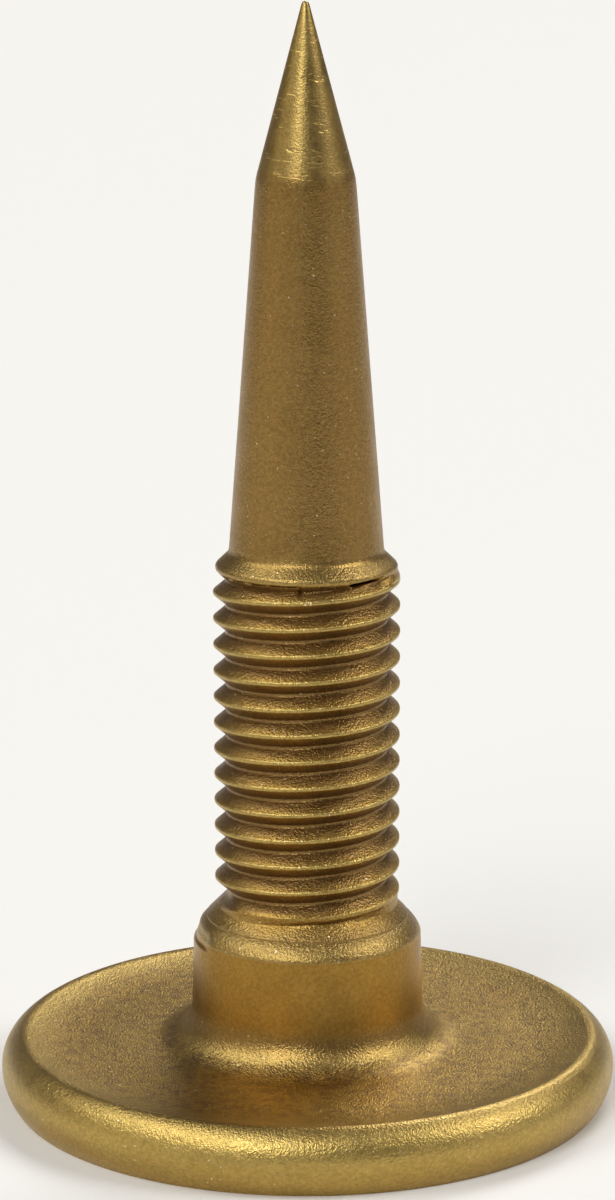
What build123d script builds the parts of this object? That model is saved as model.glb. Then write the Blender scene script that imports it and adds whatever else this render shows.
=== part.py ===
from build123d import *
import math
import os

# Flanged push-through stud, cold-formed from one piece of steel wire.
# The flange stays inside the belt or plate, the plain boss fills the hole, a backing
# plate and a nut pass over the taper and tighten on the thread, and the point grips.
# Everything is turned about Z, with the flange's flat face at Z = 0 and the point up.
# Lengths are in millimetres and angles in degrees.

# Flange: a dished disc with a bulging, upset rim
flange_diameter = 23.4
flange_bulge_height = 1.25
flat_face_inset = 0.45
lip_inset = 0.75
lip_height = 2.45
dish_depth = 0.3
dish_rise_width = 2.6

# Boss: the plain cylinder that fills the hole, with a bevelled top
boss_diameter = 8.76
boss_height = 6.42
boss_foot_fillet = 1.45
boss_edge_fillet = 0.5
bevel_angle = 45.0

# Thread: M7 x 1, right hand, with its bottom end buried in the bevel
thread_diameter = 6.98
thread_pitch = 1.0
thread_turns = 13
buried_share = 0.315
runout_height = 0.55
thread_root_sink = 0.06
thread_fade_angle = 45.0

# Collar: the rolled-up ring between the thread and the taper, just inside the crests
collar_inset = 0.09
collar_gap = 0.45
collar_slope_angle = 45.0
collar_fillet = 0.1

# Taper and point: the taper's foot is a little thinner than the thread's root
taper_inset = 0.06
taper_half_angle = 4.37
taper_length = 13.85
point_edge_fillet = 1.2
point_length = 6.85
tip_radius = 0.15

# Thread form: a 60 degree profile, cut off at an eighth of its pitch and sunk in the core
flank_slope = math.tan(math.radians(30))
sharp_height = thread_pitch / 2 / flank_slope
thread_radius = thread_diameter / 2
root_radius = thread_radius - sharp_height * 5 / 8
sunk_radius = root_radius - thread_root_sink
crest_width = thread_pitch / 8
sunk_width = crest_width + 2 * (thread_radius - sunk_radius) * flank_slope

# Heights and radii that follow from the sizes above
flange_radius = flange_diameter / 2
face_radius = flange_radius - flat_face_inset
lip_radius = flange_radius - lip_inset
boss_radius = boss_diameter / 2
collar_radius = thread_radius - collar_inset
foot_radius = root_radius - taper_inset
end_radius = foot_radius - taper_length * math.tan(math.radians(taper_half_angle))
floor_height = lip_height - dish_depth
bevel_rise = (boss_radius - thread_radius) / math.tan(math.radians(bevel_angle))
neck_height = boss_height + bevel_rise
ridge_start = neck_height - buried_share * thread_pitch
ridge_end = ridge_start + thread_turns * thread_pitch
collar_height = ridge_end + collar_gap
collar_rise = (collar_radius - foot_radius) * math.tan(math.radians(collar_slope_angle))
taper_start = collar_height + collar_rise
taper_end = taper_start + taper_length
point_angle = math.degrees(math.atan(end_radius / point_length))
tip_centre = taper_end + point_length - tip_radius / math.sin(math.radians(point_angle))


def thread_section(height):
    """The ridge's cross-section, standing in the XZ plane with its middle at this height."""
    with BuildSketch(Plane.XZ) as section:
        with BuildLine():
            Polyline(
                (sunk_radius, height - sunk_width / 2),
                (thread_radius, height - crest_width / 2),
                (thread_radius, height + crest_width / 2),
                (sunk_radius, height + sunk_width / 2),
                close=True,
            )
        make_face()
    return section.sketch


# The blank: half of its outline, turned a full circle about Z
with BuildPart() as blank:
    with BuildSketch(Plane.XZ):
        with BuildLine():
            Line((0, 0), (face_radius, 0))
            bulge = (flange_radius, flange_bulge_height)
            TangentArc(bulge, (face_radius, 0), tangent=(0, -1))
            TangentArc(bulge, (lip_radius, lip_height), tangent=(0, 1))
            dish = TangentArc(
                (lip_radius - dish_rise_width, floor_height),
                (lip_radius, lip_height),
                tangent=(1, 0),
            )
            tip = JernArc(
                start=(
                    tip_radius * math.cos(math.radians(point_angle)),
                    tip_centre + tip_radius * math.sin(math.radians(point_angle)),
                ),
                tangent=(-math.sin(math.radians(point_angle)), math.cos(math.radians(point_angle))),
                radius=tip_radius,
                arc_size=90 - point_angle,
            )
            FilletPolyline(
                dish @ 0,
                (boss_radius, floor_height),
                (boss_radius, boss_height),
                (thread_radius, neck_height),
                (root_radius, neck_height + runout_height),
                (root_radius, collar_height - (collar_radius - root_radius) * flank_slope),
                (collar_radius, collar_height),
                (foot_radius, taper_start),
                (end_radius, taper_end),
                tip @ 0,
                radius=[
                    boss_foot_fillet,
                    boss_edge_fillet,
                    0,
                    0,
                    0,
                    collar_fillet,
                    collar_fillet,
                    point_edge_fillet,
                ],
            )
            Line(tip @ 1, (0, 0))
        make_face()
    revolve(axis=Axis.Z)

# The thread's full turns, from inside the bevel up to the collar
with BuildPart() as ridge:
    with BuildLine() as crest:
        Helix(thread_pitch, thread_turns * thread_pitch, thread_radius, center=(0, 0, ridge_start))
    add(thread_section(ridge_start))
    sweep(path=crest.line, is_frenet=True)

# The last half turn, which sinks into the core behind the collar
with BuildPart() as fade:
    with BuildLine() as sinking_crest:
        Helix(
            thread_pitch,
            thread_pitch / 2,
            thread_radius,
            center=(0, 0, ridge_end),
            cone_angle=-thread_fade_angle,
        )
    add(thread_section(ridge_end))
    sweep(path=sinking_crest.line, is_frenet=True)

with BuildPart() as stud:
    add(blank.part)
    add(ridge.part)
    add(fade.part)

stud.part.label = "flanged_stud"
os.makedirs("parts", exist_ok=True)
export_step(stud.part, "parts/flanged_stud.step")

print("overall length", round(tip_centre + tip_radius, 3))
print("thread from", round(neck_height, 3), "to", round(collar_height, 3))
print("boss wall from", floor_height + boss_foot_fillet)
print("boss wall to", boss_height - boss_edge_fillet * math.tan(math.radians(bevel_angle / 2)))
print("point half angle", round(point_angle, 2))
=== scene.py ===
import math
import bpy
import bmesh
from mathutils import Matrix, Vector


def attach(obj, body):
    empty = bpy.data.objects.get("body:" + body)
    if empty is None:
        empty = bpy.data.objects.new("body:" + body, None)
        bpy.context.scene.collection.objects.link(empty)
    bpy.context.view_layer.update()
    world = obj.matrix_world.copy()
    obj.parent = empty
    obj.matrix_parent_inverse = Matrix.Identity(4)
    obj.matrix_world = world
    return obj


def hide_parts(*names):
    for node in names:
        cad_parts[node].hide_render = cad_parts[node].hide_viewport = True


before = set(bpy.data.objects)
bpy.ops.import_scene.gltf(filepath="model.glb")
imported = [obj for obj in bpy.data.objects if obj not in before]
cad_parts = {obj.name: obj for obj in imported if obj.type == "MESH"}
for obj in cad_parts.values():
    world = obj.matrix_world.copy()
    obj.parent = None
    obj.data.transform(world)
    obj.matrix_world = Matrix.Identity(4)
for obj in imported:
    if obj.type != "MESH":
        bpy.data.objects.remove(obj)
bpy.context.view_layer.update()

# %% [markdown]
# # A push-through traction stud
#
# The real stud is one piece of steel wire. A press upsets the flange and the boss, two dies
# roll the thread, a lathe turns the long taper and the point, and a bath of yellow-gold zinc
# finishes it. So the whole lesson is about one mesh and one finish.
#
# The CAD model fixes the size and the place of everything.

# %% [markdown]
# ## Working in millimetres
#
# Blender works in metres here, and a stud is easier to think about in millimetres. One factor
# turns one into the other. An operator acts on everything that is selected, and loading the
# frame leaves its parts selected, so small helpers choose what the next operator works on.

# %% Units and selection
MM = 0.001


def deselect_all():
    """Leave object mode's selection empty."""
    if bpy.context.mode != "OBJECT":
        bpy.ops.object.mode_set(mode="OBJECT")
    bpy.ops.object.select_all(action="DESELECT")


def make_active(piece):
    """Select one piece alone and make it the active one."""
    deselect_all()
    piece.select_set(True)
    bpy.context.view_layer.objects.active = piece


def edit_all(piece, operator, **settings):
    """Run one edit mode operator on the whole of a piece."""
    make_active(piece)
    bpy.ops.object.mode_set(mode="EDIT")
    bpy.ops.mesh.select_all(action="SELECT")
    operator(**settings)
    bpy.ops.object.mode_set(mode="OBJECT")


print("one millimetre is", MM, "of Blender's units")

# %% [markdown]
# ## Camera
#
# The camera looks a little down on the stud from the front, with a long lens, so that the
# taper's sides stay nearly straight. It is tilted, never aimed by a constraint, so
# that every later view starts from a plain position.

# %% Camera
CAMERA_PLACE = (0.033, -128.71, 47.03)
CAMERA_PITCH = math.radians(12.22)
CAMERA_ROLL = math.radians(-0.117)
FOCAL_LENGTH = 105.75
SENSOR_WIDTH = 36
NEAREST_SEEN = 0.005
FURTHEST_SEEN = 20

camera_data = bpy.data.cameras.new("camera")
camera_data.lens = FOCAL_LENGTH
camera_data.sensor_width = SENSOR_WIDTH
camera_data.clip_start = NEAREST_SEEN
camera_data.clip_end = FURTHEST_SEEN
camera = bpy.data.objects.new("camera", camera_data)
bpy.context.scene.collection.objects.link(camera)
tilt = Matrix.Rotation(math.pi / 2 - CAMERA_PITCH, 4, "X") @ Matrix.Rotation(CAMERA_ROLL, 4, "Z")
camera.matrix_world = Matrix.Translation(Vector(CAMERA_PLACE) * MM) @ tilt
bpy.context.scene.camera = camera
print("camera is", round(Vector(CAMERA_PLACE).length, 1), "mm from the stud's foot")

# %% [markdown]
# ## An outline drawn point by point
#
# A turned part starts as half of its outline. By hand, you merge a small plane into one
# vertex, and extrude that vertex from point to point. These helpers do the same. Round
# stretches of the outline are arcs with a few points each, worked out from their centre.

# %% Drawing an outline
def arc(centre, radius, start, end, steps):
    """Points along an arc, from the angle start to the angle end, in degrees."""
    angles = [math.radians(start + (end - start) * k / steps) for k in range(steps + 1)]
    return [(centre[0] + radius * math.cos(a), centre[1] + radius * math.sin(a)) for a in angles]


def between(start, end, share):
    """The point that lies at a share of the way from start to end."""
    return (start[0] + (end[0] - start[0]) * share, start[1] + (end[1] - start[1]) * share)


def straight(start, end, steps):
    """Points from start to end in equal steps, without the first point."""
    return [between(start, end, k / steps) for k in range(1, steps + 1)]


def draw_outline(name, points):
    """One vertex, extruded along the points of an outline in the XZ plane."""
    deselect_all()
    bpy.ops.mesh.primitive_plane_add(size=MM, location=(points[0][0] * MM, 0, points[0][1] * MM))
    piece = bpy.context.active_object
    piece.name = name
    bpy.ops.object.transform_apply(location=True, rotation=True, scale=True)
    bpy.ops.object.mode_set(mode="EDIT")
    bpy.ops.mesh.select_all(action="SELECT")
    bpy.ops.mesh.merge(type="CENTER")
    for (x0, z0), (x1, z1) in zip(points, points[1:]):
        step = ((x1 - x0) * MM, 0, (z1 - z0) * MM)
        bpy.ops.mesh.extrude_vertices_move(TRANSFORM_OT_translate={"value": step})
    bpy.ops.object.mode_set(mode="OBJECT")
    print(name, "outline has", len(points), "points")
    return piece


# %% [markdown]
# ## Turning the outline
#
# Spin carries the outline round the Z axis, as a lathe would. It leaves a seam where the
# last step meets the first, and a heap of vertices on the axis. Merging by distance closes
# both. The normals wait until the end, when the whole skin is closed.

# %% Turning
AROUND = 192
MERGE_DISTANCE = 0.002 * MM


def turn(piece):
    """Spin an outline into a closed skin of revolution about Z."""
    spin = bpy.ops.mesh.spin
    edit_all(piece, spin, steps=AROUND, angle=2 * math.pi, center=(0, 0, 0), axis=(0, 0, 1))
    edit_all(piece, bpy.ops.mesh.remove_doubles, threshold=MERGE_DISTANCE)
    print(piece.name, "has", len(piece.data.polygons), "faces")


# %% [markdown]
# ## Flange
#
# The press squeezes the head between two dies. The rim is free metal, so it bulges into a
# round nose, and the dished top has a raised lip. Each of these curves is an arc that starts
# level or upright, so that it meets its neighbour without a kink.

# %% Flange outline
FLAT_RADIUS = 11.25
BULGE_RADIUS = 11.7
BULGE_HEIGHT = 1.25
LIP_RADIUS = 10.9
LIP_HEIGHT = 2.45
FLOOR_HEIGHT = 2.15
DISH_RADIUS = 8.3


def gentle_arc(reach, sag):
    """Radius and angle of an arc that strays by sag from a straight line over its reach."""
    radius = (reach**2 + sag**2) / (2 * sag)
    return radius, math.degrees(math.asin(reach / radius))


underside = [(0, 0)] + straight((0, 0), (FLAT_RADIUS, 0), steps=6)[:-1]
low_radius, low_end = gentle_arc(BULGE_HEIGHT, BULGE_RADIUS - FLAT_RADIUS)
rim_low = arc((BULGE_RADIUS - low_radius, BULGE_HEIGHT), low_radius, -low_end, 0, steps=8)
high_radius, high_end = gentle_arc(LIP_HEIGHT - BULGE_HEIGHT, BULGE_RADIUS - LIP_RADIUS)
rim_high = arc((BULGE_RADIUS - high_radius, BULGE_HEIGHT), high_radius, 0, high_end, steps=10)
dish_curve, dish_end = gentle_arc(LIP_RADIUS - DISH_RADIUS, LIP_HEIGHT - FLOOR_HEIGHT)
dish_centre = (DISH_RADIUS, FLOOR_HEIGHT + dish_curve)
dish = arc(dish_centre, dish_curve, -90 + dish_end, -90, steps=10)
flange = underside + rim_low + rim_high[1:] + dish[1:]
print("flange outline has", len(flange), "points")

# %% [markdown]
# ## Boss and bevel
#
# A generous fillet carries the load from the flange to the boss, whose wall leans in a little
# so that it leaves the die. The bevel leads from the boss up to the thread in two parts, a
# slight swell and a straight slope, with a fine step between them.

# %% Lower body
FOOT_FILLET = 1.45
BOSS_FOOT_RADIUS = 4.4
BOSS_TOP_RADIUS = 4.31
BOSS_HEIGHT = 6.44
WALL_TOP_OUT = 0.01
WALL_TOP_BELOW = 0.14
CORNER_BELOW = 0.08
PLAIN_WALL_SHARE = 0.8
BEVEL_SUM = 10.84
NECK_HEIGHT = 7.42
NECK_RADIUS = BEVEL_SUM - NECK_HEIGHT
STEP_RADIUS = 3.86
STEP_HEIGHT = 6.93
STEP_IN = 0.04
STEP_FOOT = 0.03
STEP_TOP = 0.09
SWELL_ANGLE = 15

foot_centre = (BOSS_FOOT_RADIUS + FOOT_FILLET, FLOOR_HEIGHT + FOOT_FILLET)
foot = arc(foot_centre, FOOT_FILLET, 270, 180, steps=14)
floor_run = straight(dish[-1], foot[0], steps=5)[:-1]
wall_top = (BOSS_TOP_RADIUS + WALL_TOP_OUT, BOSS_HEIGHT - WALL_TOP_BELOW)
fine_start = between(foot[-1], wall_top, PLAIN_WALL_SHARE)
wall = straight(foot[-1], fine_start, steps=2) + straight(fine_start, wall_top, steps=10)
corner = (BOSS_TOP_RADIUS, BOSS_HEIGHT - CORNER_BELOW)
chord = math.dist(corner, (STEP_RADIUS, STEP_HEIGHT))
lean = math.degrees(math.atan2(corner[0] - STEP_RADIUS, STEP_HEIGHT - corner[1]))
swell_radius = chord / 2 / math.sin(math.radians(SWELL_ANGLE))
low_angle = math.radians(lean - SWELL_ANGLE)
swell_centre = (
    corner[0] - swell_radius * math.cos(low_angle),
    corner[1] - swell_radius * math.sin(low_angle),
)
swell = arc(swell_centre, swell_radius, lean - SWELL_ANGLE, lean + SWELL_ANGLE, steps=8)
step_radius = STEP_RADIUS - STEP_IN
step = [(step_radius, STEP_HEIGHT + STEP_FOOT), (step_radius, STEP_HEIGHT + STEP_TOP)]
bevel = swell + step + straight(step[-1], (NECK_RADIUS, NECK_HEIGHT), steps=5)

lower = draw_outline("lower", flange + floor_run + foot + wall + bevel)
turn(lower)

# %% [markdown]
# ## Collar, taper and point
#
# Rolling the thread pushes a ring of metal ahead of the dies, and that ring stays as a round
# collar. Above it the shank tapers slowly, then closes to a point at about fifteen degrees.
# Three points round the soft crease between them.

# %% Upper body
COLLAR_RADIUS = 3.4
COLLAR_HEIGHT = 20.47
COLLAR_NOSE = 0.2
COLLAR_NOSE_END = 50
SHOULDER_OUT = 0.06
SHOULDER_BELOW = 0.12
TAPER_FOOT_HEIGHT = 21.1
TAPER_FOOT_RADIUS = 2.893
TAPER_FOOT_OUT = 0.018
TAPER_FOOT_BELOW = 0.03
TAPER_SLOPE = 0.07688
TAPER_START = 21.2
TAPER_END = 34.55
CREASE_START = 34.75
CREASE_MIDDLE = 34.9
CREASE_END = 35.1
CREASE_CUTS = (0.005, 0.015, 0.004)
POINT_SLOPE = 0.2698
POINT_APEX = 41.67
TIP_RADIUS = 0.15


def taper_radius(height):
    """Radius of the long taper at a height."""
    return TAPER_FOOT_RADIUS - TAPER_SLOPE * (height - TAPER_FOOT_HEIGHT)


nose = arc((COLLAR_RADIUS - COLLAR_NOSE, COLLAR_HEIGHT), COLLAR_NOSE, 0, COLLAR_NOSE_END, steps=5)
shoulder_end = (TAPER_FOOT_RADIUS + SHOULDER_OUT, TAPER_FOOT_HEIGHT - SHOULDER_BELOW)
shoulder = straight(nose[-1], shoulder_end, steps=4)
taper_foot = [
    (TAPER_FOOT_RADIUS + TAPER_FOOT_OUT, TAPER_FOOT_HEIGHT - TAPER_FOOT_BELOW),
    (taper_radius(TAPER_START), TAPER_START),
]
taper = straight(taper_foot[-1], (taper_radius(TAPER_END), TAPER_END), steps=8)
crease = [
    (taper_radius(CREASE_START) - CREASE_CUTS[0], CREASE_START),
    (taper_radius(CREASE_MIDDLE) - CREASE_CUTS[1], CREASE_MIDDLE),
    (POINT_SLOPE * (POINT_APEX - CREASE_END) - CREASE_CUTS[2], CREASE_END),
]
point_angle = math.degrees(math.atan(POINT_SLOPE))
tip_centre = POINT_APEX - TIP_RADIUS / math.sin(math.radians(point_angle))
tip = arc((0, tip_centre), TIP_RADIUS, point_angle, 90, steps=6)
cone = straight(crease[-1], tip[0], steps=6)

upper = draw_outline("upper", nose + shoulder + taper_foot + taper + crease + cone + tip[1:])
turn(upper)

# %% [markdown]
# ## Rolled thread
#
# One pitch of the thread is drawn as an outline: half a root, a flank, a narrow crest, a
# flank and half a root again. A point close to each end of a flank keeps the flank flat when
# it is shaded smooth, so that only the crest's edge catches the light.

# %% Thread outline
PITCH = 1.0
CREST_RADIUS = 3.5
ROOT_RADIUS = 3.03
CREST_LAND = 0.05
CREST_ROUND = 0.06
ROOT_ROUND = 0.11
FLANK_NORMAL = 60
FLANK_STOPS = (0.08, 0.5, 0.94)


def thread_outline(start):
    """One pitch of a rounded 60 degree thread, from root to root, with its crest half way."""
    crest_centre = CREST_RADIUS - CREST_ROUND
    root_centre = ROOT_RADIUS + ROOT_ROUND
    low_land = (crest_centre, start + PITCH / 2 - CREST_LAND / 2)
    high_land = (crest_centre, start + PITCH / 2 + CREST_LAND / 2)
    crest = arc(low_land, CREST_ROUND, -FLANK_NORMAL, 0, steps=2)
    crest += arc(high_land, CREST_ROUND, 0, FLANK_NORMAL, steps=2)
    low_root = arc((root_centre, start), ROOT_ROUND, 180, 180 - FLANK_NORMAL, steps=3)
    high_root = arc((root_centre, start + PITCH), ROOT_ROUND, 180 + FLANK_NORMAL, 180, steps=3)
    rise = [between(low_root[-1], crest[0], share) for share in FLANK_STOPS]
    fall = [between(high_root[0], crest[-1], share) for share in reversed(FLANK_STOPS)]
    return low_root + rise + crest + fall + high_root


print("one pitch has", len(thread_outline(0)), "points")

# %% [markdown]
# ## Screw
#
# The Screw modifier carries the outline round and up, one pitch a turn, and each turn joins
# the one below. Its own merging leaves a seam open along the spiral, so the doubles are
# merged once more as soon as it is applied.

# %% Thread
CREST_AT_X = 20.0
THREAD_TURNS = 16
TURNS_BELOW = 14

thread_start = CREST_AT_X - TURNS_BELOW * PITCH - PITCH / 2
thread = draw_outline("thread", thread_outline(thread_start))
screw = thread.modifiers.new("screw", "SCREW")
screw.axis = "Z"
screw.angle = 2 * math.pi
screw.screw_offset = PITCH * MM
screw.iterations = THREAD_TURNS
screw.steps = AROUND
screw.render_steps = AROUND
screw.use_merge_vertices = True
screw.merge_threshold = MERGE_DISTANCE
make_active(thread)
bpy.ops.object.modifier_apply(modifier=screw.name)
edit_all(thread, bpy.ops.mesh.remove_doubles, threshold=MERGE_DISTANCE)
print("thread has", len(thread.data.polygons), "faces over", THREAD_TURNS, "turns")

# %% [markdown]
# ## Trimming the thread
#
# The spiral is longer than it needs to be. Bisect cuts it flat just above the bevel and just
# under the collar, and throws away what is outside.

# %% Trim
TRIM_LOW = NECK_HEIGHT + 0.01
TRIM_HIGH = 20.44


def trim(piece, height, keep_above):
    """Cut a piece flat at a height and keep one side."""
    edit_all(
        piece,
        bpy.ops.mesh.bisect,
        plane_co=(0, 0, height * MM),
        plane_no=(0, 0, 1),
        clear_inner=keep_above,
        clear_outer=not keep_above,
    )


trim(thread, TRIM_LOW, keep_above=True)
trim(thread, TRIM_HIGH, keep_above=False)
print("thread has", len(thread.data.polygons), "faces after trimming")

# %% [markdown]
# ## Finer faces under the collar
#
# The folded metal under the collar leaves a slot that is thinner than the thread's faces. So
# the faces there are split first, to hold it. Splitting the whole thread would hold it as
# well, but would give the thread nine times the faces.

# %% Finer faces
FINE_FROM = 19.95
CUTS = 2

make_active(thread)
bpy.ops.object.mode_set(mode="EDIT")
bpy.ops.mesh.select_mode(type="FACE")
bpy.ops.mesh.select_all(action="DESELECT")
mesh = bmesh.from_edit_mesh(thread.data)
for face in mesh.faces:
    face.select = min(v.co.z for v in face.verts) > FINE_FROM * MM
bmesh.update_edit_mesh(thread.data)
bpy.ops.mesh.subdivide(number_cuts=CUTS)
bpy.ops.object.mode_set(mode="OBJECT")
print("thread has", len(thread.data.polygons), "faces after splitting")

# %% [markdown]
# ## Marks that fade in and out
#
# A rolled thread has no clean ends, and sculpting them by hand can't be repeated. Here each
# vertex keeps its height and its direction from the axis, and only its radius is moved. So
# the code says exactly how deep a mark is at each place, and these helpers fade it in and out.

# %% Fading
def smooth_step(value, low, high):
    """0 below low, 1 above high, and an even ease between them."""
    t = min(1, max(0, (value - low) / (high - low)))
    return t * t * (3 - 2 * t)


def bump_at(value, middle, half_width):
    """1 at the middle, falling smoothly to 0 at half_width to either side."""
    return 1 - smooth_step(abs(value - middle), 0, half_width)


def window(value, low, high, ease):
    """1 between low and high, easing to 0 over a little way outside them."""
    return smooth_step(value, low - ease, low) * (1 - smooth_step(value, high, high + ease))


def around_from_left(x, y):
    """Degrees round the axis: -90 left, 0 front, 90 right, 180 back, up to 270 left again."""
    degrees = math.degrees(math.atan2(x, -y))
    return degrees if degrees >= -90 else degrees + 360


def set_radii(piece, new_radius):
    """Give each vertex off the axis the radius new_radius finds for it."""
    moved = 0
    for vertex in piece.data.vertices:
        x, y, z = vertex.co / MM
        radius = math.hypot(x, y)
        if radius > 0:
            settled = new_radius(radius, z, around_from_left(x, y))
            vertex.co.x *= settled / radius
            vertex.co.y *= settled / radius
            moved += settled != radius
    print(piece.name, "had", moved, "vertices moved")


# %% [markdown]
# ## Where the thread begins
#
# The dies stop just short of the boss. At the right the neck fills the last groove, and at
# the left the last crest is lost in the bevel. Both fade over a part of a turn.

# %% Bottom end
LAST_CREST = CREST_AT_X - 12 * PITCH
FILL_IN = (5, 70)
FILL_OUT = (120, 250)
FILLED_RADIUS = 3.44
FILL_RISE = (7.42, 7.6)
CREST_KEPT = (-45, 150, 40)
LOW_CREST_DROP = 0.07
LOW_CREST_RISE = (7.5, 8.1)


def settle_low(radius, height, around):
    """The bottom end: the last groove fades out at the right, the last crest at the left."""
    crest = LAST_CREST + (around - 90) / 360 * PITCH
    bevel_line = max(ROOT_RADIUS, BEVEL_SUM - height)
    if height < crest:
        filled = smooth_step(around, *FILL_IN) * (1 - smooth_step(around, *FILL_OUT))
        ground = NECK_RADIUS + (FILLED_RADIUS - NECK_RADIUS) * smooth_step(height, *FILL_RISE)
        radius += max(0, ground - radius) * filled
    lowest = crest if around < 90 else crest - PITCH
    if height < lowest + PITCH / 2:
        lost = 1 - window(around, *CREST_KEPT)
        radius += (bevel_line - radius) * lost
    low_cap = CREST_RADIUS - LOW_CREST_DROP * (1 - smooth_step(height, *LOW_CREST_RISE))
    return min(low_cap, max(radius, bevel_line))


print("the last crest at the right is at", LAST_CREST, "mm")

# %% [markdown]
# ## Where the thread ends
#
# At the top the thread runs in under the collar and is pinched shut at the right. The metal
# folds over there, and leaves a deep slot, a thin lap at the left and one short crack.

# %% Top end
CAP_RISE = (20.05, 20.4)
PINCH_ALONG = (72, 135, 18)
PINCH_RISE = (19.95, 20.1)
UNDERSIDE_FROM = 20
UNDERSIDE_ANGLE = 48
UNDERSIDE_SLOPE = 1.05
SLOT_ALONG = (36, 50, 9)
SLOT_HEIGHT = 20.3
SLOT_HEIGHT_AT = 35
SLOT_LIFT = 0.0035
SLOT_HALF_WIDTH = 0.11
SLOT_DEPTH = 0.5
LAP_ALONG = (-85, -8, 6)
LAP_HEIGHT = 20.33
LAP_HALF_WIDTH = 0.05
LAP_DEPTH = 0.1
CRACK_AT = -4
CRACK_HALF_WIDTH = 1.6
CRACK_RISE = (20.02, 20.3, 0.04)
CRACK_DEPTH = 0.07


def collar_under(height):
    """Radius of the collar's sloping underside at a height."""
    below = COLLAR_HEIGHT - height
    turn_in = COLLAR_NOSE * math.sin(math.radians(UNDERSIDE_ANGLE))
    middle = COLLAR_RADIUS - COLLAR_NOSE
    if below < turn_in:
        return middle + math.sqrt(COLLAR_NOSE**2 - below**2)
    slope_start = middle + COLLAR_NOSE * math.cos(math.radians(UNDERSIDE_ANGLE))
    return slope_start - (below - turn_in) * UNDERSIDE_SLOPE


def settle_high(radius, height, around):
    """The top end: capped at the collar's size, pinched at the right, slotted under the edge."""
    cap = CREST_RADIUS - (CREST_RADIUS - COLLAR_RADIUS) * smooth_step(height, *CAP_RISE)
    pinch = window(around, *PINCH_ALONG) * smooth_step(height, *PINCH_RISE)
    radius = min(radius + (cap - radius) * pinch, cap)
    if height > UNDERSIDE_FROM:
        radius = max(radius, collar_under(height))
    slot_height = SLOT_HEIGHT + SLOT_LIFT * (around - SLOT_HEIGHT_AT)
    slot = window(around, *SLOT_ALONG) * bump_at(height, slot_height, SLOT_HALF_WIDTH)
    lap = window(around, *LAP_ALONG) * bump_at(height, LAP_HEIGHT, LAP_HALF_WIDTH)
    crack = bump_at(around, CRACK_AT, CRACK_HALF_WIDTH) * window(height, *CRACK_RISE)
    return radius - SLOT_DEPTH * slot - LAP_DEPTH * lap - CRACK_DEPTH * crack


print("the collar's underside starts", round(collar_under(UNDERSIDE_FROM), 2), "mm from the axis")

# %% [markdown]
# ## Both ends together
#
# Between its two ends the thread stays as the dies rolled it, so only the vertices near an
# end are given to the helpers above.

# %% Run-outs
LOW_END = 9
HIGH_END = 19.9


def settle_ends(radius, height, around):
    """The radius of a vertex of the thread, changed near the thread's two ends only."""
    if height < LOW_END:
        return settle_low(radius, height, around)
    if height > HIGH_END:
        return settle_high(radius, height, around)
    return radius


set_radii(thread, settle_ends)

# %% [markdown]
# ## A fold on the boss's edge
#
# Forming dies rarely fill evenly. At the left the boss's top edge was pushed in a little, and
# the metal folded along a short line below it. The same helpers say how deep the push is.

# %% Fold
FOLD_ALONG = (-110, -68, 12)
FOLD_HEIGHT = 6.12
FOLD_HALF_WIDTH = 0.06
FOLD_STEP = 0.1
FOLD_LEAN = 0.03
FOLD_TOP = 6.42
FOLD_END = 6.8


def push_in(radius, height, around):
    """The boss's edge, pushed in at the left: a step, then a lean up to the bevel."""
    turned = around if around < 90 else around - 360
    step_foot = FOLD_HEIGHT - FOLD_HALF_WIDTH
    step_in = FOLD_STEP * smooth_step(height, step_foot, FOLD_HEIGHT + FOLD_HALF_WIDTH)
    lean_in = FOLD_LEAN * smooth_step(height, FOLD_HEIGHT, FOLD_TOP)
    fade = 1 - smooth_step(height, FOLD_TOP, FOLD_END)
    return radius - window(turned, *FOLD_ALONG) * (step_in + lean_in) * fade


set_radii(lower, push_in)

# %% [markdown]
# ## One piece of metal
#
# The three skins are joined into one mesh, and each pair of open edges is bridged. Nothing
# on the real stud is welded or pressed together, so nothing here stays a separate shell.

# %% Joining
BRIDGE_REACH = 0.2
SMOOTH_BELOW = math.radians(40)


def bridge(piece, low, high):
    """Bridge the two open edge loops whose heights lie between low and high."""
    make_active(piece)
    bpy.ops.object.mode_set(mode="EDIT")
    bpy.ops.mesh.select_mode(type="EDGE")
    bpy.ops.mesh.select_all(action="DESELECT")
    mesh = bmesh.from_edit_mesh(piece.data)
    for edge in mesh.edges:
        middle = (edge.verts[0].co.z + edge.verts[1].co.z) / 2 / MM
        edge.select = edge.is_boundary and low < middle < high
    bmesh.update_edit_mesh(piece.data)
    bpy.ops.mesh.bridge_edge_loops()
    bpy.ops.object.mode_set(mode="OBJECT")


make_active(lower)
upper.select_set(True)
thread.select_set(True)
bpy.ops.object.join()
stud = lower
stud.name = "plated_stud"
stud.data.name = "plated_stud"
bridge(stud, NECK_HEIGHT - BRIDGE_REACH, TRIM_LOW + BRIDGE_REACH)
bridge(stud, TRIM_HIGH - BRIDGE_REACH, COLLAR_HEIGHT + BRIDGE_REACH)
edit_all(stud, bpy.ops.mesh.normals_make_consistent, inside=False)
bpy.ops.object.shade_smooth_by_angle(angle=SMOOTH_BELOW)

skin = bmesh.new()
skin.from_mesh(stud.data)
open_edges = sum(1 for e in skin.edges if not e.is_manifold)
print("open edges:", open_edges, "volume in mm3:", round(skin.calc_volume() / MM**3, 1))
print("triangles:", sum(len(f.verts) - 2 for f in skin.faces))
skin.free()

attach(stud, "root")
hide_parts("flanged_stud")

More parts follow.
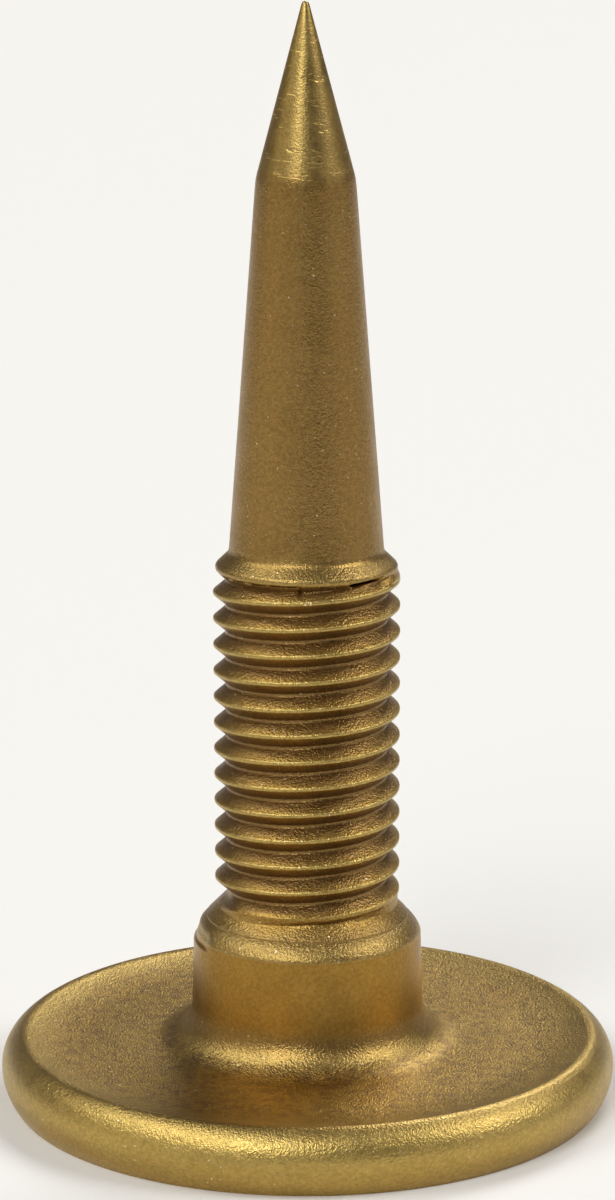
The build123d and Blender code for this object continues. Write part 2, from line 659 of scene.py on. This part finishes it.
# %% [markdown]
# ## Helpers for shader nodes
#
# A finish made of nodes can be drawn by hand in the shader editor. In a script a few helpers
# keep it readable: each one makes a node, plugs in what feeds it, and returns its output.

# %% Node helpers
def add_node(tree, kind, **settings):
    """A node with its properties set by name."""
    node = tree.nodes.new(kind)
    for name, value in settings.items():
        setattr(node, name, value)
    return node


def feed(tree, socket, value):
    """Give a node's input the output of another node, or a plain value."""
    if isinstance(value, bpy.types.NodeSocket):
        tree.links.new(value, socket)
    else:
        socket.default_value = value


def math_node(tree, operation, first, second=None, clamp=False):
    """A Math node on one or two sockets or plain numbers."""
    node = add_node(tree, "ShaderNodeMath", operation=operation, use_clamp=clamp)
    feed(tree, node.inputs[0], first)
    if second is not None:
        feed(tree, node.inputs[1], second)
    return node.outputs[0]


def noise_node(tree, vector, scale, detail, rough):
    """Noise on a vector, with its scale in features to the metre."""
    node = add_node(tree, "ShaderNodeTexNoise")
    feed(tree, node.inputs["Vector"], vector)
    feed(tree, node.inputs["Scale"], scale)
    node.inputs["Detail"].default_value = detail
    node.inputs["Roughness"].default_value = rough
    return node.outputs["Fac"]


def step_node(tree, value, low, high, to_low=0.0, to_high=1.0):
    """A smooth step from to_low to to_high as a value goes from low to high."""
    node = add_node(tree, "ShaderNodeMapRange", interpolation_type="SMOOTHSTEP")
    feed(tree, node.inputs["Value"], value)
    limits = {"From Min": low, "From Max": high, "To Min": to_low, "To Max": to_high}
    for label, number in limits.items():
        node.inputs[label].default_value = number
    return node.outputs["Result"]


def new_group(name, inputs, outputs):
    """An empty shader node group with named sockets, and the nodes at its two ends."""
    group = bpy.data.node_groups.new(name, "ShaderNodeTree")
    for label, kind, value in inputs:
        socket = group.interface.new_socket(name=label, in_out="INPUT", socket_type=kind)
        if value is not None:
            socket.default_value = value
    for label, kind in outputs:
        group.interface.new_socket(name=label, in_out="OUTPUT", socket_type=kind)
    return group, add_node(group, "NodeGroupInput"), add_node(group, "NodeGroupOutput")


# %% [markdown]
# ## Relief of blasted steel
#
# The blank is blasted before it is plated, so its skin is a field of tiny craters. Under a
# soft light they break every highlight into sparkle, and leave the darker walls looking
# smooth. The point was turned on a lathe, and keeps short cuts that run round it. Relief
# like that is one effect, so it is a node group with its sizes as inputs.

# %% Relief group
COARSE_SHARE = 0.45
COARSE_WEIGHT = 0.45
PIT_SHARE = 0.025
PIT_EDGE = (0.012, 0.024)
PIT_DEPTH = 0.8
RING_STRETCH = (0.2, 0.2, 1.0)
RING_SCALE = 4500.0
CUT_EDGE = (0.6, 0.68)

relief, inside, outside = new_group(
    "blasted_relief",
    [
        ("Vector", "NodeSocketVector", None),
        ("Grain", "NodeSocketFloat", 9000.0),
        ("Relief", "NodeSocketFloat", 1.0),
        ("Turned", "NodeSocketFloat", 0.0),
    ],
    [("Height", "NodeSocketFloat"), ("Pits", "NodeSocketFloat")],
)
vector = inside.outputs["Vector"]
grain = inside.outputs["Grain"]
fine = noise_node(relief, vector, grain, detail=1.5, rough=0.65)
coarse_scale = math_node(relief, "MULTIPLY", grain, COARSE_SHARE)
coarse = noise_node(relief, vector, coarse_scale, detail=1.0, rough=0.5)
both = math_node(relief, "ADD", fine, math_node(relief, "MULTIPLY", coarse, COARSE_WEIGHT))

craters = add_node(relief, "ShaderNodeTexVoronoi", feature="F1")
feed(relief, craters.inputs["Vector"], vector)
feed(relief, craters.inputs["Scale"], math_node(relief, "MULTIPLY", grain, PIT_SHARE))
pits = step_node(relief, craters.outputs["Distance"], *PIT_EDGE, 1.0, 0.0)
blasted = math_node(relief, "SUBTRACT", both, math_node(relief, "MULTIPLY", pits, PIT_DEPTH))

stretched = add_node(relief, "ShaderNodeVectorMath", operation="MULTIPLY")
feed(relief, stretched.inputs[0], vector)
feed(relief, stretched.inputs[1], RING_STRETCH)
rings = noise_node(relief, stretched.outputs["Vector"], RING_SCALE, detail=2.0, rough=0.6)
ring_cuts = step_node(relief, rings, *CUT_EDGE)
cuts = math_node(relief, "MULTIPLY", ring_cuts, inside.outputs["Turned"])

skin_height = math_node(relief, "MULTIPLY", blasted, inside.outputs["Relief"])
feed(relief, outside.inputs["Height"], math_node(relief, "SUBTRACT", skin_height, cuts))
feed(relief, outside.inputs["Pits"], pits)
print(relief.name, "has", len(relief.nodes), "nodes")

# %% [markdown]
# ## Colour of the plating
#
# A yellow passivate is never quite one colour. It is deepest where the bath lay longest, on
# the boss, and a dull colour darkens the thread's roots as painted shade. It is palest on the
# crests, the rim, the foot, the bevel, the collar and the point, partly from wear by handling
# and partly as painted highlight where the lamps catch them. Within that it drifts a little
# over a millimetre or two, and carries a few pale specks.

# %% Colour group
DRIFT_SCALE = 380.0
DRIFT_REACH = 0.4
MOTTLE_SCALE = 7000.0
MOTTLE_EDGE = (0.3, 0.7)
MOTTLE_SHADES = (0.84, 1.12)
SPECK_SCALE = 9000.0
SPECK_EDGE = (0.8, 0.86)
SPECK_COLOUR = (0.75, 0.65, 0.42, 1)


def mix_node(tree, factor, first, second):
    """A mix of two colours, each a socket or a plain colour."""
    node = add_node(tree, "ShaderNodeMix", data_type="RGBA")
    feed(tree, node.inputs["Factor"], factor)
    feed(tree, node.inputs["A"], first)
    feed(tree, node.inputs["B"], second)
    return node.outputs["Result"]


patina, inside, outside = new_group(
    "passivate_colour",
    [
        ("Vector", "NodeSocketVector", None),
        ("Deep", "NodeSocketColor", (0.38, 0.22, 0.045, 1)),
        ("Pale", "NodeSocketColor", (0.52, 0.375, 0.115, 1)),
        ("Dull", "NodeSocketColor", (0.15, 0.086, 0.05, 1)),
        ("Rubbed_and_highlight", "NodeSocketFloat", 0.5),
        ("Dullness_and_shade", "NodeSocketFloat", 0.0),
        ("Specks", "NodeSocketFloat", 1.0),
    ],
    [("Color", "NodeSocketColor")],
)
vector = inside.outputs["Vector"]
drift_noise = noise_node(patina, vector, DRIFT_SCALE, detail=2.0, rough=0.5)
drift = math_node(patina, "SUBTRACT", drift_noise, 0.5)
wander = math_node(patina, "MULTIPLY", drift, DRIFT_REACH)
share = math_node(patina, "ADD", inside.outputs["Rubbed_and_highlight"], wander, clamp=True)
tint = mix_node(patina, share, inside.outputs["Deep"], inside.outputs["Pale"])
dulled = mix_node(patina, inside.outputs["Dullness_and_shade"], tint, inside.outputs["Dull"])

mottle = noise_node(patina, vector, MOTTLE_SCALE, detail=2.0, rough=0.7)
mottled = add_node(patina, "ShaderNodeVectorMath", operation="SCALE")
feed(patina, mottled.inputs[0], dulled)
feed(patina, mottled.inputs["Scale"], step_node(patina, mottle, *MOTTLE_EDGE, *MOTTLE_SHADES))

speck_noise = noise_node(patina, vector, SPECK_SCALE, detail=0.0, rough=0.5)
grains = step_node(patina, speck_noise, *SPECK_EDGE)
specks = math_node(patina, "MULTIPLY", grains, inside.outputs["Specks"], clamp=True)
speckled = mix_node(patina, specks, mottled.outputs["Vector"], SPECK_COLOUR)
feed(patina, outside.inputs["Color"], speckled)
print(patina.name, "has", len(patina.nodes), "nodes")

# %% [markdown]
# ## Where each finish lies
#
# The material reads its own place on the stud: its height, and its distance from the axis.
# A ramp over the height says how pale, how dull and how grainy each part is. Paleness is
# partly wear and partly painted highlight on the rim, the foot, the bevel's lower band, the
# collar and the point, where the lamps catch them. The wall of the boss was ironed smooth by
# the die, so it keeps the deepest colour and the least grain.

# %% Zones by height
RAMP_TOP = 42.0
# Columns: how pale (wear and painted highlight), how dull and how grainy, at each height.
WEAR_AND_HIGHLIGHT_DULL_GRAINY = [
    (0.0, (0.5, 0.0, 1.0)),
    (1.0, (0.6, 0.0, 1.0)),
    (1.8, (1.0, 0.0, 1.0)),
    (2.5, (0.8, 0.25, 1.0)),
    (3.2, (0.3, 0.4, 0.9)),
    (3.8, (0.0, 0.08, 0.1)),
    (6.25, (0.0, 0.05, 0.1)),
    (6.4, (0.8, 0.3, 1.1)),
    (6.9, (0.8, 0.42, 1.3)),
    (7.0, (0.6, 0.5, 1.3)),
    (7.5, (0.3, 0.15, 1.1)),
    (20.35, (0.3, 0.15, 1.1)),
    (20.5, (0.8, 0.4, 1.2)),
    (20.95, (0.6, 0.35, 0.8)),
    (21.4, (0.3, 0.42, 0.6)),
    (34.6, (0.3, 0.42, 0.6)),
    (35.3, (0.9, 0.32, 0.3)),
    (41.5, (1.0, 0.2, 0.5)),
]

zones, inside, outside = new_group(
    "stud_zones",
    [("Vector", "NodeSocketVector", None)],
    [
        ("Rubbed_and_highlight", "NodeSocketFloat"),
        ("Dullness_and_shade", "NodeSocketFloat"),
        ("Relief", "NodeSocketFloat"),
        ("Turned", "NodeSocketFloat"),
    ],
)
axes = add_node(zones, "ShaderNodeSeparateXYZ")
feed(zones, axes.inputs[0], inside.outputs["Vector"])
height = axes.outputs["Z"]
ramp = add_node(zones, "ShaderNodeValToRGB")
feed(zones, ramp.inputs["Fac"], math_node(zones, "DIVIDE", height, RAMP_TOP * MM))
while len(ramp.color_ramp.elements) < len(WEAR_AND_HIGHLIGHT_DULL_GRAINY):
    ramp.color_ramp.elements.new(1)
for element, (stop, values) in zip(ramp.color_ramp.elements, WEAR_AND_HIGHLIGHT_DULL_GRAINY):
    element.position = stop / RAMP_TOP
    element.color = (*values, 1)
by_height = add_node(zones, "ShaderNodeSeparateColor")
feed(zones, by_height.inputs[0], ramp.outputs["Color"])
print("the ramp has", len(ramp.color_ramp.elements), "stops")

# %% [markdown]
# ## Dish, roots and crests
#
# Height alone can't tell the dish from the rim, or a root from a crest, so the distance from
# the axis is worked out too. The dish keeps patches of dull residue from the bath. The roots
# are darkened as painted shade, and the crests are paled as a painted highlight.

# %% Zones by distance
ABOVE_NECK = (7.4, 7.6)
UNDER_COLLAR = (20.3, 20.4)
DISH_TOP = (2.3, 2.6)
DISH_EDGE = (9.0, 10.6)
ROOT_SHADE_BAND = (3.2, 3.49)
ROOT_PAINTED_SHADE = 0.45
CREST_HIGHLIGHT_BAND = (3.44, 3.48)
DISH_LESS_RUBBED = 0.35
DISH_MORE_GRAIN = 0.4
PATCH_SCALE = 2400.0
PATCH_EDGE = (0.42, 0.64)
PATCH_DULLNESS = 0.42
POINT_START = (34.6, 35.4)
TURNED_BELOW = 0.05
TURNED_ABOVE = 0.45


def zone_math(operation, first, second=None):
    """A Math node of the zones group."""
    return math_node(zones, operation, first, second)


def band(value, ends, to_low=0.0, to_high=1.0):
    """A smooth step between two ends in millimetres."""
    return step_node(zones, value, ends[0] * MM, ends[1] * MM, to_low, to_high)


across = zone_math("MULTIPLY", axes.outputs["X"], axes.outputs["X"])
along = zone_math("MULTIPLY", axes.outputs["Y"], axes.outputs["Y"])
distance = zone_math("SQRT", zone_math("ADD", across, along))
in_thread = zone_math("MULTIPLY", band(height, ABOVE_NECK), band(height, UNDER_COLLAR, 1.0, 0.0))
below_lip = band(height, DISH_TOP, 1.0, 0.0)
in_dish = zone_math("MULTIPLY", below_lip, band(distance, DISH_EDGE, 1.0, 0.0))

# Painted highlight: the crests are paled toward the pale tint where the lamps catch their edges.
crest_painted_highlight = zone_math("MULTIPLY", in_thread, band(distance, CREST_HIGHLIGHT_BAND))
less_rubbed = zone_math("MULTIPLY", in_dish, DISH_LESS_RUBBED)
rubbed_and_highlight = zone_math("SUBTRACT", by_height.outputs["Red"], less_rubbed)
feed(zones, outside.inputs["Rubbed_and_highlight"], zone_math("ADD", rubbed_and_highlight, crest_painted_highlight))

# Painted shade: the thread's roots are darkened toward the dull colour.
painted_root_shade = zone_math("MULTIPLY", in_thread, band(distance, ROOT_SHADE_BAND, ROOT_PAINTED_SHADE, 0.0))
residue = noise_node(zones, inside.outputs["Vector"], PATCH_SCALE, detail=3.0, rough=0.6)
patches = step_node(zones, residue, *PATCH_EDGE, 0.0, PATCH_DULLNESS)
dullness_and_root_shade = zone_math("ADD", by_height.outputs["Green"], painted_root_shade)
dish_dullness = zone_math("MULTIPLY", in_dish, patches)
feed(zones, outside.inputs["Dullness_and_shade"], zone_math("ADD", dullness_and_root_shade, dish_dullness))

more_grain = zone_math("MULTIPLY", in_dish, DISH_MORE_GRAIN)
feed(zones, outside.inputs["Relief"], zone_math("ADD", by_height.outputs["Blue"], more_grain))
feed(zones, outside.inputs["Turned"], band(height, POINT_START, TURNED_BELOW, TURNED_ABOVE))
print(zones.name, "has", len(zones.nodes), "nodes")

# %% [markdown]
# ## Yellow-gold zinc
#
# The material puts the groups together. The zones feed the other two, and all three read
# Object coordinates, so the finish sits on the metal and moves with it. Zinc under its
# passivate is still metal, so Metallic stays at 1, and only the gloss drifts a little.

# %% Finish
BLAST_GRAIN = 12500.0
PIT_COLOUR = (0.06, 0.035, 0.012, 1)
GLOSS_SCALE = 900.0
GLOSS_EDGE = (0.25, 0.75)
ROUGHNESS = (0.32, 0.42)
RELIEF_DEPTH = 0.027 * MM

steel = bpy.data.materials.new("plated_steel")
steel.use_nodes = True
tree = steel.node_tree
shader = tree.nodes["Principled BSDF"]
shader.inputs["Metallic"].default_value = 1
place = add_node(tree, "ShaderNodeTexCoord").outputs["Object"]


def use_group(group):
    """A node group in the material, reading Object coordinates."""
    node = add_node(tree, "ShaderNodeGroup", node_tree=group)
    feed(tree, node.inputs["Vector"], place)
    return node


zone = use_group(zones).outputs
colour = use_group(patina)
feed(tree, colour.inputs["Rubbed_and_highlight"], zone["Rubbed_and_highlight"])
feed(tree, colour.inputs["Dullness_and_shade"], zone["Dullness_and_shade"])
feed(tree, colour.inputs["Specks"], zone["Relief"])
blast = use_group(relief)
feed(tree, blast.inputs["Grain"], BLAST_GRAIN)
feed(tree, blast.inputs["Relief"], zone["Relief"])
feed(tree, blast.inputs["Turned"], zone["Turned"])

pitted = mix_node(tree, blast.outputs["Pits"], colour.outputs["Color"], PIT_COLOUR)
feed(tree, shader.inputs["Base Color"], pitted)
gloss = noise_node(tree, place, GLOSS_SCALE, detail=3.0, rough=0.6)
feed(tree, shader.inputs["Roughness"], step_node(tree, gloss, *GLOSS_EDGE, *ROUGHNESS))
bump = add_node(tree, "ShaderNodeBump")
feed(tree, bump.inputs["Distance"], RELIEF_DEPTH)
feed(tree, bump.inputs["Height"], blast.outputs["Height"])
feed(tree, shader.inputs["Normal"], bump.outputs["Normal"])
stud.data.materials.clear()
stud.data.materials.append(steel)
print(steel.name, "has", len(tree.nodes), "nodes")

# %% [markdown]
# ## Floor
#
# A small part like this is shown standing on paper. A pale, matt plane is enough: it throws
# soft light up into the rim, and shows only a faint shadow.

# %% Floor
FLOOR_SIZE = 4
PAPER_COLOUR = (0.82, 0.82, 0.82, 1)
PAPER_ROUGHNESS = 0.9

deselect_all()
bpy.ops.mesh.primitive_plane_add(size=FLOOR_SIZE, location=(0, 0, 0))
floor = bpy.context.active_object
floor.name = "floor"
paper = bpy.data.materials.new("paper")
paper.use_nodes = True
matt = paper.node_tree.nodes["Principled BSDF"]
matt.inputs["Base Color"].default_value = PAPER_COLOUR
matt.inputs["Roughness"].default_value = PAPER_ROUGHNESS
floor.data.materials.append(paper)
print("floor is", FLOOR_SIZE, "m across")

# %% [markdown]
# ## Sky
#
# Bright metal shows what stands round it. So the sky is dark behind the camera and bright at
# both sides, and the stud's middle stays deep while its edges glow.

# %% Sky
ZENITH = (0.15, 0.14, 0.145, 1)
BACK = (0.18, 0.155, 0.14, 1)
FRONT = (0.07, 0.058, 0.056, 1)
LEFT = (0.66, 0.56, 0.45, 1)
RIGHT = (0.42, 0.39, 0.41, 1)
FRONT_TO_BACK = (-0.95, -0.4)
LEFT_TO_RIGHT = (-0.3, 0.3)
SIDE_EDGE = (0.45, 0.95)
SIDES_END = (-0.1, 0.3)
RING_TO_ZENITH = (0.1, 0.8)

world = bpy.data.worlds.new("studio")
bpy.context.scene.world = world
world.use_nodes = True
sky = world.node_tree
toward = add_node(sky, "ShaderNodeSeparateXYZ")
feed(sky, toward.inputs[0], add_node(sky, "ShaderNodeTexCoord").outputs["Generated"])
to_right, to_back, to_zenith = (toward.outputs[axis] for axis in "XYZ")

ahead = mix_node(sky, step_node(sky, to_back, *FRONT_TO_BACK), FRONT, BACK)
sides = mix_node(sky, step_node(sky, to_right, *LEFT_TO_RIGHT), LEFT, RIGHT)
sideways = step_node(sky, math_node(sky, "ABSOLUTE", to_right), *SIDE_EDGE)
forward = step_node(sky, to_back, *SIDES_END, 1.0, 0.0)
ring = mix_node(sky, math_node(sky, "MULTIPLY", sideways, forward), ahead, sides)
dome = mix_node(sky, step_node(sky, to_zenith, *RING_TO_ZENITH), ring, ZENITH)
feed(sky, sky.nodes["Background"].inputs["Color"], dome)
sky.nodes["Background"].inputs["Strength"].default_value = 1.0
print("sky has", len(sky.nodes), "nodes")

# %% [markdown]
# ## Lamps
#
# Four far lamps, each as wide as a softbox, light the floor evenly and put a broad highlight
# on every round edge. The one behind the stud picks out the dish.

# %% Lights
LAMPS = [
    ("key", -26, 42, 30, 1.3, (1, 1, 0.95)),
    ("left", -85, 50, 30, 0.9, (1, 1, 0.95)),
    ("side", 84, 43, 28, 1.15, (1, 0.98, 0.93)),
    ("back", 158, 44, 25, 1.05, (1, 0.99, 0.95)),
]


def add_lamp(name, azimuth, elevation, width, power, colour):
    """A far lamp as wide as an angle in degrees. Azimuth 0 is the front, positive to the right."""
    a, e = math.radians(azimuth), math.radians(elevation)
    way = Vector((math.sin(a) * math.cos(e), -math.cos(a) * math.cos(e), math.sin(e)))
    data = bpy.data.lights.new(name, "SUN")
    data.energy = power
    data.angle = math.radians(width)
    data.color = colour
    light = bpy.data.objects.new(name, data)
    light.rotation_euler = way.to_track_quat("Z", "Y").to_euler()
    bpy.context.scene.collection.objects.link(light)


for lamp in LAMPS:
    add_lamp(*lamp)
bpy.context.scene.view_settings.view_transform = "Standard"
print("lamps:", [name for name, *_ in LAMPS])
